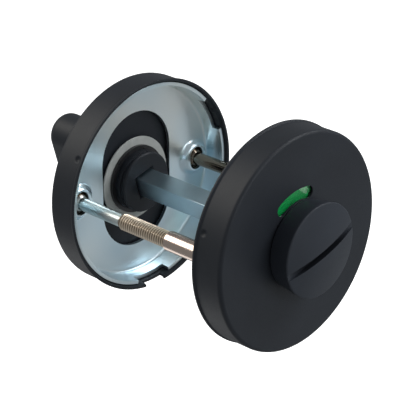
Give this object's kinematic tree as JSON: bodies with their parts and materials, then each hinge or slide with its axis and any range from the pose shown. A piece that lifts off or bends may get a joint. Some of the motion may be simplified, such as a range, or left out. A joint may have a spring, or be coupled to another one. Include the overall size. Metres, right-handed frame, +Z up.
{
  "type": "bathroom thumb turn lock",
  "caption": "Round bathroom turn and release set: inside rose with thumb turn, outside rose with coin release and indicator window, square spindle, bolts and sleeves.",
  "frame": {"origin": "on the spindle's axis, in the middle of the door's thickness", "axes": "+Y along the spindle's axis towards the thumb turn on the inside of the door, -Y towards the coin release outside, +Z up, +X to the right as seen from outside"},
  "size_m": [0.052, 0.0832, 0.052],
  "materials": {
    "black_coat": "fine matt powder coat",
    "zinc_plate": "bright zinc plating",
    "zinc_bar": "dull zinc plating",
    "zinc_screw": "yellowish zinc plating",
    "nickel_sleeve": "bright nickel plating",
    "black_nylon": "moulded",
    "pale_washer": "moulded, grey-beige",
    "black_spring_steel": "oiled black oxide",
    "spring_steel": "plain",
    "indicator_green": "moulded, with printed sectors",
    "clear_lens": "clear moulded lens"
  },
  "bodies": {
    "fixed": {"inside_cover": "black_coat", "inside_base_plate": "zinc_plate", "turn_bush": "black_nylon", "left_screw": "zinc_screw", "right_screw": "zinc_screw", "left_sleeve": "nickel_sleeve", "right_sleeve": "nickel_sleeve", "outside_base_plate": "zinc_plate", "outside_cover": "black_coat", "window_lens": "clear_lens", "button_bush": "black_nylon"},
    "turning": {"thumb_turn": "black_coat", "turn_spring_washer": "spring_steel", "turn_washer": "pale_washer", "turn_circlip": "black_spring_steel", "spindle": "zinc_bar", "release_button": "black_coat", "button_spring_washer": "spring_steel", "button_circlip": "black_spring_steel", "indicator_disc": "indicator_green"}
  },
  "joints": [
    {"name": "turn", "type": "hinge", "parent": "fixed", "child": "turning", "pos_m": [0, 0, 0], "axis": [0, -1, 0], "range_deg": [-15.5, 74.5]}
  ]
}
